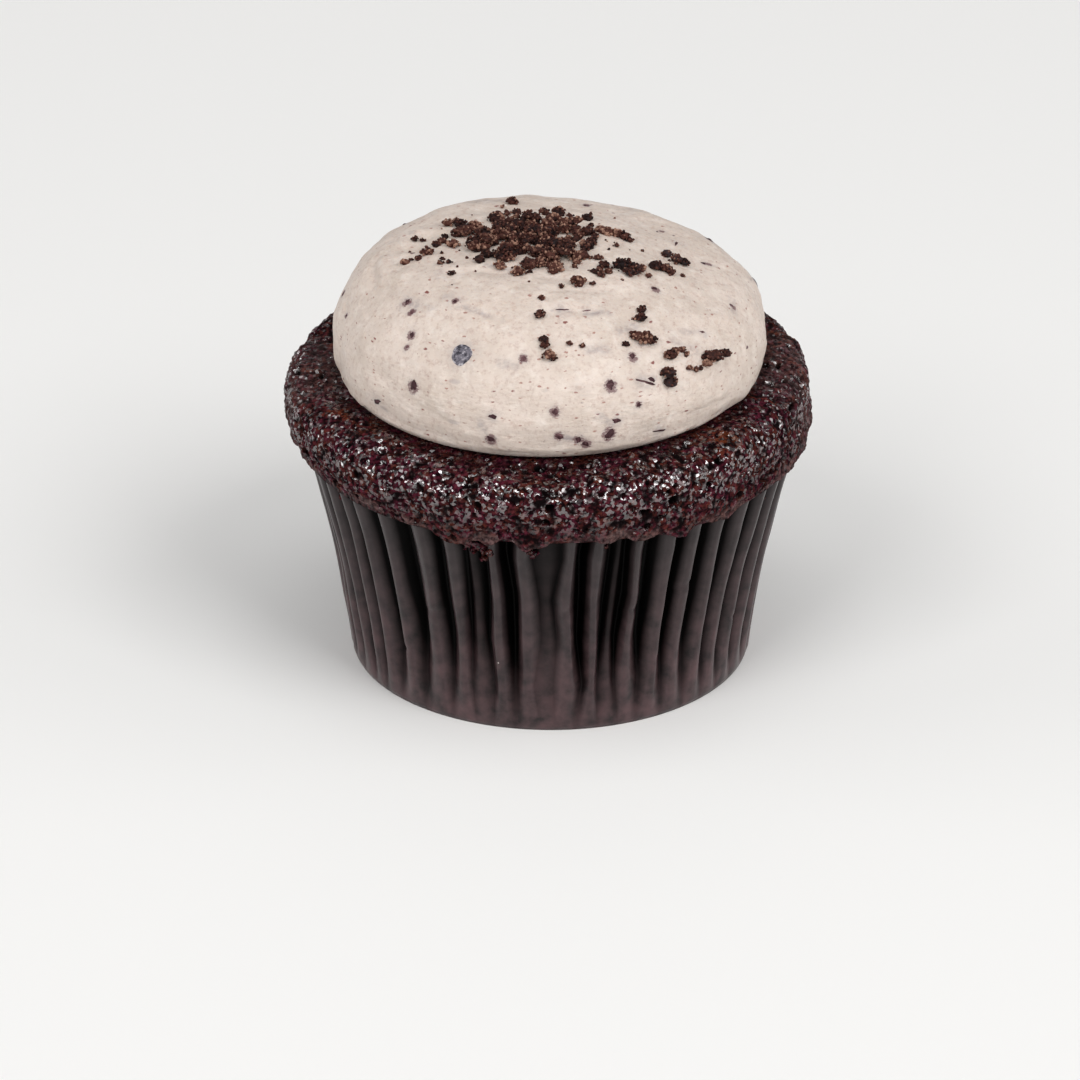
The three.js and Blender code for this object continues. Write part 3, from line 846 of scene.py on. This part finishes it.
# The crumbs that lie apart from the pile or along its edge: x, y and size.
LONE_CRUMBS = [
    (-17, 3.8, 1), (-16, 3.7, 0.8), (-18.1, -3.1, 1.1), (-17.3, -2.7, 0.6), (-16.4, -3.1, 1),
    (-14.3, 0.6, 1.2), (-15.1, -1.2, 0.5), (-13.6, -2.3, 0.5), (-13.4, -4.4, 0.6), (-13.7, -5.8, 0.8),
    (-12.6, -5.6, 0.8), (-12.9, 7, 1.5), (-11.8, 8, 1), (-10.9, 7.2, 0.9), (-13.2, 3.2, 1),
    (-11.5, 3.2, 2), (-12.2, 0.2, 1.6), (-10.5, 3.2, 2.2), (-7, 6.6, 1.8), (-6.2, 6.6, 1.4),
    (-4.9, 14.9, 1.6), (-6.1, 13.4, 0.6), (-0.2, 5.5, 1), (1, 10.4, 1.6), (-0.3, 12.3, 0.5),
    (5, 12.1, 0.5), (1.4, 5, 1.6), (1.3, -1.3, 2), (2.9, 3.4, 1.8), (4.6, 2.7, 1.8), (5, 5.3, 0.8),
    (5.3, -0.7, 1), (6.2, 3.7, 1.4), (7.1, 3.2, 1.6), (8.1, 3.1, 1.6), (9.1, 2.5, 1.6), (9.8, 1.8, 1),
    (3.1, -3.9, 1.8), (2.9, -6.4, 0.8), (5, -4.4, 0.7), (5.9, -4.7, 1.2), (6.5, -6.8, 1.5),
    (7.1, -8.1, 1), (6, -7.6, 1), (11, -6.4, 1.4), (8.8, -9.7, 0.4), (11.4, -0.2, 0.4), (3.3, -11.1, 1.9),
    (5.1, -10.7, 0.7), (1.3, -12.1, 0.8), (-1.2, -15.1, 0.9), (-4, -8.5, 1.8), (-6.1, -7.3, 1.2),
    (-7.8, -4.2, 1.8), (-5.9, -5.5, 1.8), (-1.4, -6, 1.8), (0.4, -8.2, 1.2), (1, -7.6, 1.2),
    (12.9, -4.6, 1.8), (14.1, -4.4, 1.7), (14.8, -4.8, 1.2), (12, -7.2, 0.9), (16.3, -4.3, 0.6),
    (11.1, -14.5, 1.3), (10.9, -15.7, 1.4), (10.1, -16, 0.5), (10.2, -18.6, 1.6), (11.3, -18.5, 2.2),
    (12.3, -18.4, 1.4), (9.1, -20.1, 0.9), (14.5, -19.7, 1.6), (15.1, -19, 1.2), (15.9, -18.4, 1),
    (16.5, -18.6, 0.9), (19.1, -16.9, 1.8), (20, -16.2, 2), (21.3, -14.9, 1.4), (18.9, -17.7, 1.5),
    (19.4, -17, 1.2), (16.8, -19.7, 0.9), (17.6, -19.2, 0.9), (18.2, -18.7, 0.8), (-0.9, -21.5, 1.2),
    (-0.8, -22.1, 1.3), (-0.3, -23, 1.6), (0.2, -23.2, 1), (3.8, -21.5, 0.8), (2.2, -21.5, 0.8),
    (-1.4, -18, 1.5), (13.7, -21.7, 0.9),
]
# Whole bits of cookie, dark and close-grained.
DARK_CRUMBS = [
    (-8.2, 1.6, 2.2), (-0.1, 2.2, 2.4), (-3.1, 5.7, 2.2), (8.9, -6.9, 2.6), (10.3, -7.1, 2),
    (9.6, -8, 1.6), (14.4, 0.8, 1.3), (15.6, -0.3, 1.7), (16.5, -0.6, 1.4), (14.1, -21.5, 2),
    (14.5, -21.8, 1.7), (-5.3, -2.7, 1.8), (-2.7, -6.4, 1.7),
]
# Bits sunk in the frosting: bearing, elevation, length, width, turn about the skin's normal.
SUNK_BITS = [
    (-39.4, 5, 1.5, 1, 0), (-51.4, 22.9, 0.8, 0.6, 30), (-46.4, 17.4, 0.9, 0.7, 20),
    (-45.8, 14.1, 0.5, 0.4, 0), (-15.4, 2.1, 1.2, 0.5, 85), (-15.7, -4.3, 1.2, 0.8, 75),
    (-8.3, 17.4, 0.8, 0.7, 0), (-39, 30.7, 0.6, 0.5, 0), (0.9, 4.3, 1, 0.9, 20),
    (16.4, 9.8, 1.3, 1.1, 45), (23.4, 4.1, 0.6, 0.5, 0), (17.1, 0.5, 1.4, 0.7, 85),
    (15, -2.7, 1.7, 0.9, -40), (2, -2.4, 1.1, 0.7, 60), (6.9, -3.5, 1, 0.8, 0), (9, -4.9, 1.1, 0.6, 80),
    (29.3, -4.6, 1.6, 0.28, 88), (24.9, 16.4, 0.9, 0.8, 0), (4.1, 33.3, 1.9, 0.22, 90),
    (15.2, 32.3, 1.3, 0.22, 88), (25.6, 9.7, 2.9, 0.3, 70), (28.4, 9.6, 1, 0.5, 60),
    (52.9, 33.6, 0.9, 0.5, 60), (52.8, 16.1, 0.8, 0.4, 60), (123.1, 32.1, 0.5, 0.3, 80),
    (107.7, 31.4, 1.3, 0.3, 75), (-91.5, 11.3, 0.8, 0.6, 0), (-79.4, 10.2, 0.5, 0.4, 0),
    (-52.3, -3.3, 1.4, 0.6, -60), (74.3, 16.3, 0.7, 0.5, 0), (120, 18, 1.2, 0.8, 30),
    (165, 30, 0.9, 0.7, 0), (200, 12, 1.3, 0.7, 60), (235, 22, 0.8, 0.6, 20), (95, 25, 0.7, 0.5, 0),
    (145, 4, 1, 0.6, 90), (180, 22, 0.6, 0.5, 0), (-110, 10, 1, 0.7, 0), (-56.8, 24.6, 1, 0.7, 30),
]
# Bits under a thin veil of frosting, given in the same way.
VEILED_BITS = [
    (-27.1, 16.5, 2.9, 2.7, 0), (105, 8, 1.6, 1.2, 0), (190, 3, 1.5, 1.2, 40), (-140, 16, 1.8, 1.5, 20),
    (150, 15, 1.2, 0.9, 0),
]


def crumb_model(name, subdivisions, rough_size, roughness, seed):
    """One lump of broken cookie, 1 mm across, as a model to copy."""
    deselect()
    bpy.ops.mesh.primitive_ico_sphere_add(subdivisions=subdivisions, radius=0.5 * MM)
    model = bpy.context.object
    model.name = name
    points = points_of(model) + seed * 7.3
    push = sum(lump(*points.T, rough_size / scale, roughness / scale, seed) for scale in (1, 2.2, 4.5))
    put_points(model, points_of(model) + normals_of(model) * push[:, None])
    return model


def joined_copies(name, models, copies):
    """One mesh of many copies, made of the models by turns. A copy is a matrix in mm and a tone, 0 to 1."""
    shapes = []
    for model in models:
        faces = np.array([tuple(face.vertices) for face in model.data.polygons])
        shapes.append((points_of(model), faces))
    corners, faces, tones, count = [], [], [], 0
    for rank, (matrix, tone) in enumerate(copies):
        shape, shape_faces = shapes[rank % len(shapes)]
        turn = np.array(matrix)
        corners.append(shape @ turn[:3, :3].T + turn[:3, 3])
        faces.append(shape_faces + count)
        tones += [tone] * len(shape)
        count += len(shape)
    mesh = bpy.data.meshes.new(name)
    mesh.from_pydata(np.concatenate(corners) * MM, [], np.concatenate(faces).tolist())
    piece = bpy.data.objects.new(name, mesh)
    bpy.context.scene.collection.objects.link(piece)
    paint(piece, "tone", tones)
    return piece


def remove(*pieces):
    for piece in pieces:
        bpy.data.objects.remove(piece)


def random_way(draw):
    """A unit vector that may point anywhere."""
    return Vector([draw.gauss(0, 1) for _ in range(3)]).normalized()


def random_turn(draw):
    angle = draw.uniform(0, FULL_TURN)
    return Matrix.Rotation(angle, 4, random_way(draw))


def placed_grain(draw, spot, size):
    return Matrix.Translation(spot) @ Matrix.Scale(size, 4) @ random_turn(draw)


def round_pile(draw, spread, length, breadth):
    """A place near the middle of the pile, most often within one spread of it."""
    angle, distance = draw.uniform(0, 2 * math.pi), spread * math.sqrt(-math.log(1 - draw.random()))
    return PILE_X + length * distance * math.cos(angle), PILE_Y + breadth * distance * math.sin(angle)


def land(mound, x, y):
    """The place on the mound under a point, in mm, and its normal there."""
    _, place, normal, _ = mound.ray_cast(Vector((x * MM, y * MM, 0.1)), Vector((0, 0, -1)))
    return Vector(place) / MM, Vector(normal)


def crumb_seats(mound):
    """Where the crumbs lie: a list of centre, size and whether the crumb is dark."""
    numbers = stream(PILE_SEED)
    wanted = []
    for rank in range(PILE_COUNT):
        angle = next(numbers) * 2 * math.pi
        distance = PILE_SPREAD * math.sqrt(-math.log(1 - next(numbers)))
        x, y = PILE_X + distance * math.cos(angle), PILE_Y + distance * math.sin(angle)
        size = PILE_LARGEST + (PILE_SMALLEST - PILE_LARGEST) * rank / (PILE_COUNT - 1)
        wanted.append((x, y, size * 0.85, False, True))
    draw = random.Random(12)
    for _ in range(SMALL_CRUMBS):
        x, y = round_pile(draw, SMALL_CRUMB_SPREAD, 1.2, 1.05)
        wanted.append((x, y, draw.uniform(*SMALL_CRUMB_SIZES), draw.random() < 0.07, True))
    wanted += [(x, y, size, True, False) for x, y, size in DARK_CRUMBS]
    wanted += [(x, y, size, False, False) for x, y, size in LONE_CRUMBS]
    highest = CAD_BOX[1][2] / MM
    seats = []
    for x, y, size, dark, piled in wanted:
        place, normal = land(mound, x, y)
        centre = place + normal * SEAT_LIFT * size
        for other, other_size, _ in seats if piled else ():
            gap = math.hypot(other.x - centre.x, other.y - centre.y)
            reach = NEIGHBOUR_REACH * (size + other_size)
            if gap < reach:
                centre.z = max(centre.z, other.z + 0.3 * math.sqrt(reach**2 - gap**2))
        centre.z = min(centre.z, highest - 0.62 * size)
        seats.append((centre, size, dark))
    return seats


def cookie_crumbs(mound):
    """The crumbs: knobbly cores, a crust of grains on each, whole dark bits, and loose grains round about."""
    draw = random.Random(3)
    cores = [crumb_model(f"core {seed}", 3, 0.5, 0.24, seed) for seed in (1, 2, 3, 4)]
    grains = [crumb_model(f"grain {seed}", 1, 0.6, 0.3, seed) for seed in (5, 6, 7)]
    core_copies, dark_copies, grain_copies = [], [], []
    for centre, size, dark in crumb_seats(mound):
        shape = Matrix.Diagonal((size * draw.uniform(0.85, 1.2), size, size * draw.uniform(0.65, 0.85), 1))
        place = Matrix.Translation(centre) @ Matrix.Rotation(draw.uniform(0, FULL_TURN), 4, "Z")
        tone = 0.16 + 0.7 * draw.random()
        core = place @ shape @ Matrix.Scale(CORE_SHARE, 4) @ random_turn(draw)
        if dark:
            tone = 0.6 * tone
            dark_copies.append((core, tone))
        else:
            core_copies.append((core, 0.8 * tone))
        for _ in range(round(10 * size**2) + 3):
            way = random_way(draw)
            way.z = abs(way.z) * 1.1 - 0.25
            grain = draw.uniform(*GRAIN_SIZES) * min(1, 0.5 + size / 3)
            spot = place @ (Vector((way.x, way.y, way.z * 0.75)) * size * draw.uniform(0.38, 0.56))
            copy = placed_grain(draw, spot, grain)
            grain_copies.append((copy, min(max(tone + draw.uniform(-0.3, 0.4), 0.1), 1)))
    for _ in range(LOOSE_GRAINS):
        x, y = round_pile(draw, LOOSE_GRAIN_SPREAD, 1.25, 1)
        if math.hypot(x, y) < LOOSE_GRAINS_WITHIN:
            spot, normal = land(mound, x, y)
            grain = draw.uniform(*LOOSE_GRAIN_SIZES)
            copy = placed_grain(draw, spot + normal * SEAT_LIFT * grain, grain)
            grain_copies.append((copy, draw.uniform(0.35, 0.8)))
    brown = cookie_crumb("cocoa cookie, crushed", ("#1c0807", "#4d2a22", "#a07b69"), 0.6, 0.25)
    black = cookie_crumb("cocoa cookie, whole bits", ("#1c1112", "#3d2b2b", "#75625f"), 0.55, 0.25)
    for name, models, copies, cookie in (
        ("crumb_cores", cores, core_copies, brown),
        ("crumb_dark_bits", cores, dark_copies, black),
        ("crumb_grains", grains, grain_copies, brown),
    ):
        piece = joined_copies(name, models, copies)
        if models is cores:
            smooth_shade(piece)
        dress(piece, cookie, "cookie_crumbs")
    remove(*cores, *grains)


def sunk_bits(mound):
    """Bits of cookie stirred into the frosting, of which only a low dome shows."""
    draw = random.Random(8)
    middle = Vector((0, 0, SEATS_FROM))
    for name, bits, roughness, codes, mottle in (
        ("sunk_dark_bits", SUNK_BITS, 0.2, ("#3c2327", "#66474a", "#9c827f"), 0.4),
        ("sunk_veiled_bits", VEILED_BITS, 0.05, ("#34323a", "#716d76", "#c2bec2"), 0.6),
    ):
        models = [crumb_model(f"bit {seed}", 4, 0.5, roughness, seed) for seed in (8, 9, 10)]
        copies = []
        for bearing, elevation, length, width, turn in bits:
            way = Vector(seat_direction(bearing, elevation))
            outside = (middle + way * 2 * MOUND_RADIUS) * MM
            _, spot, normal, _ = mound.ray_cast(outside, -way)
            upright = normal.to_track_quat("Z", "Y").to_matrix().to_4x4()
            thickness = 0.5 * width
            shape = Matrix.Diagonal((1.15 * width, 1.15 * length, thickness, 1))
            centre = Matrix.Translation(Vector(spot) / MM - normal * thickness * 0.3)
            place = centre @ upright @ Matrix.Rotation(math.radians(turn), 4, "Z")
            copies.append((place @ shape, 0.5 * draw.random()))
        piece = joined_copies(name, models, copies)
        smooth_shade(piece)
        cookie = cookie_crumb(f"cocoa cookie, {name.replace('_', ' ')}", codes, 0.45, mottle)
        dress(piece, cookie, "cookie_crumbs")
        remove(*models)


# Crumbs of cake that stick to the paper under the lip: bearing, height and size.
STUCK_CRUMBS = [
    (-17.4, 27.5, 1), (-16.1, 26.8, 0.9), (-15.2, 27.7, 1.1), (-14.2, 27.1, 0.8), (-15.8, 25.7, 0.8),
    (-17, 25.3, 0.5), (-18.6, 26.7, 0.8), (-19.8, 27.6, 0.9), (-20.6, 26.8, 0.5), (-18.3, 27.9, 0.9),
    (-4.4, 26.6, 0.7), (-3.5, 27.2, 0.8), (-4.9, 27.4, 0.7), (-60.4, 27.2, 0.7), (-59.5, 26.1, 0.5),
    (63.4, 26.4, 0.5), (30.6, 27.9, 0.5), (-26.8, 28.2, 0.6), (12.6, 28, 0.5), (96, 27.5, 0.6),
    (141, 27.2, 0.7), (187, 26.8, 0.6), (233, 27.6, 0.7), (262, 27, 0.5),
]


def stuck_crumbs(case):
    """Small crumbs of the cake's crust on the outside of the paper."""
    draw = random.Random(21)
    models = [crumb_model(f"cake crumb {seed}", 3, 0.6, 0.3, seed) for seed in (11, 12, 13)]
    copies = []
    for bearing, height, size in STUCK_CRUMBS:
        way, up = Vector(seat_direction(bearing, 0)), Vector((0, 0, height))
        outside = (way * 1.3 * CASE_RIM_RADIUS + up) * MM
        _, spot, _, _ = case.ray_cast(outside, -way)
        reach = max(math.hypot(spot.x, spot.y) / MM + 0.1 * size, case_radius(height) - 1)
        shape = Matrix.Diagonal((size * 1.3, size * 0.9, size, 1))
        copies.append((Matrix.Translation(way * reach + up) @ random_turn(draw) @ shape, 0))
    piece = joined_copies("stuck_cake_crumbs", models, copies)
    smooth_shade(piece)
    dress(piece, bpy.data.materials[CRUST_NAME], "chocolate_cake")
    remove(*models)


# ------------------------ stage, light and camera

FLOOR_WIDTH = 12  # metres
TENT_COLOUR, TENT_STRENGTH = (0.98, 0.985, 1, 1), 0.24
LAMP_TARGET = 40  # height of the point that the lamps face
LAMP_DISTANCE = 2.4  # metres, from that point
LAMPS = (  # name, bearing, elevation, width in metres, watts
    ("soft box left", -36, 42, 1.2, 21),
    ("soft box right", 42, 43, 1.2, 27.5),
    ("wall of the tent, left", -92, 26, 1.6, 10),
    ("wall of the tent, right", 86, 26, 1.6, 11),
    ("roof of the tent", 10, 84, 1.4, 9),
)
CAMERA_PLACE = (-1.35, -682.3, 360.63)
CAMERA_PITCH = math.radians(63.05)
LENS, SENSOR_WIDTH = 200, 36


def studio():
    """A pale floor, two soft boxes in front, one above, and a light tent all round."""
    deselect()
    bpy.ops.mesh.primitive_plane_add(size=FLOOR_WIDTH)
    floor = bpy.context.object
    floor.name = "floor"
    floor.data.materials.append(painted_floor())
    scene = bpy.context.scene
    world = bpy.data.worlds.new("light tent")
    world.use_nodes = True
    tent = world.node_tree.nodes["Background"].inputs
    tent["Color"].default_value = TENT_COLOUR
    tent["Strength"].default_value = TENT_STRENGTH
    scene.world = world
    for name, bearing, elevation, width, power in LAMPS:
        light = bpy.data.lights.new(name, "AREA")
        light.shape = "SQUARE"
        light.size = width
        light.energy = power
        lamp = bpy.data.objects.new(name, light)
        way = Vector(seat_direction(bearing, elevation))
        lamp.location = way * LAMP_DISTANCE + Vector((0, 0, LAMP_TARGET * MM))
        lamp.rotation_euler = way.to_track_quat("Z", "Y").to_euler()
        scene.collection.objects.link(lamp)
    lens = bpy.data.cameras.new("camera")
    lens.lens = LENS
    lens.sensor_width = SENSOR_WIDTH
    camera = bpy.data.objects.new("camera", lens)
    camera.location = [part * MM for part in CAMERA_PLACE]
    camera.rotation_euler = (CAMERA_PITCH, 0, 0)
    scene.collection.objects.link(camera)
    scene.camera = camera
    scene.view_settings.view_transform = "Standard"


# ------------------------ the whole

studio()
case = paper_case()
cake()
mound = frosting()
cookie_crumbs(mound)
sunk_bits(mound)
stuck_crumbs(case)
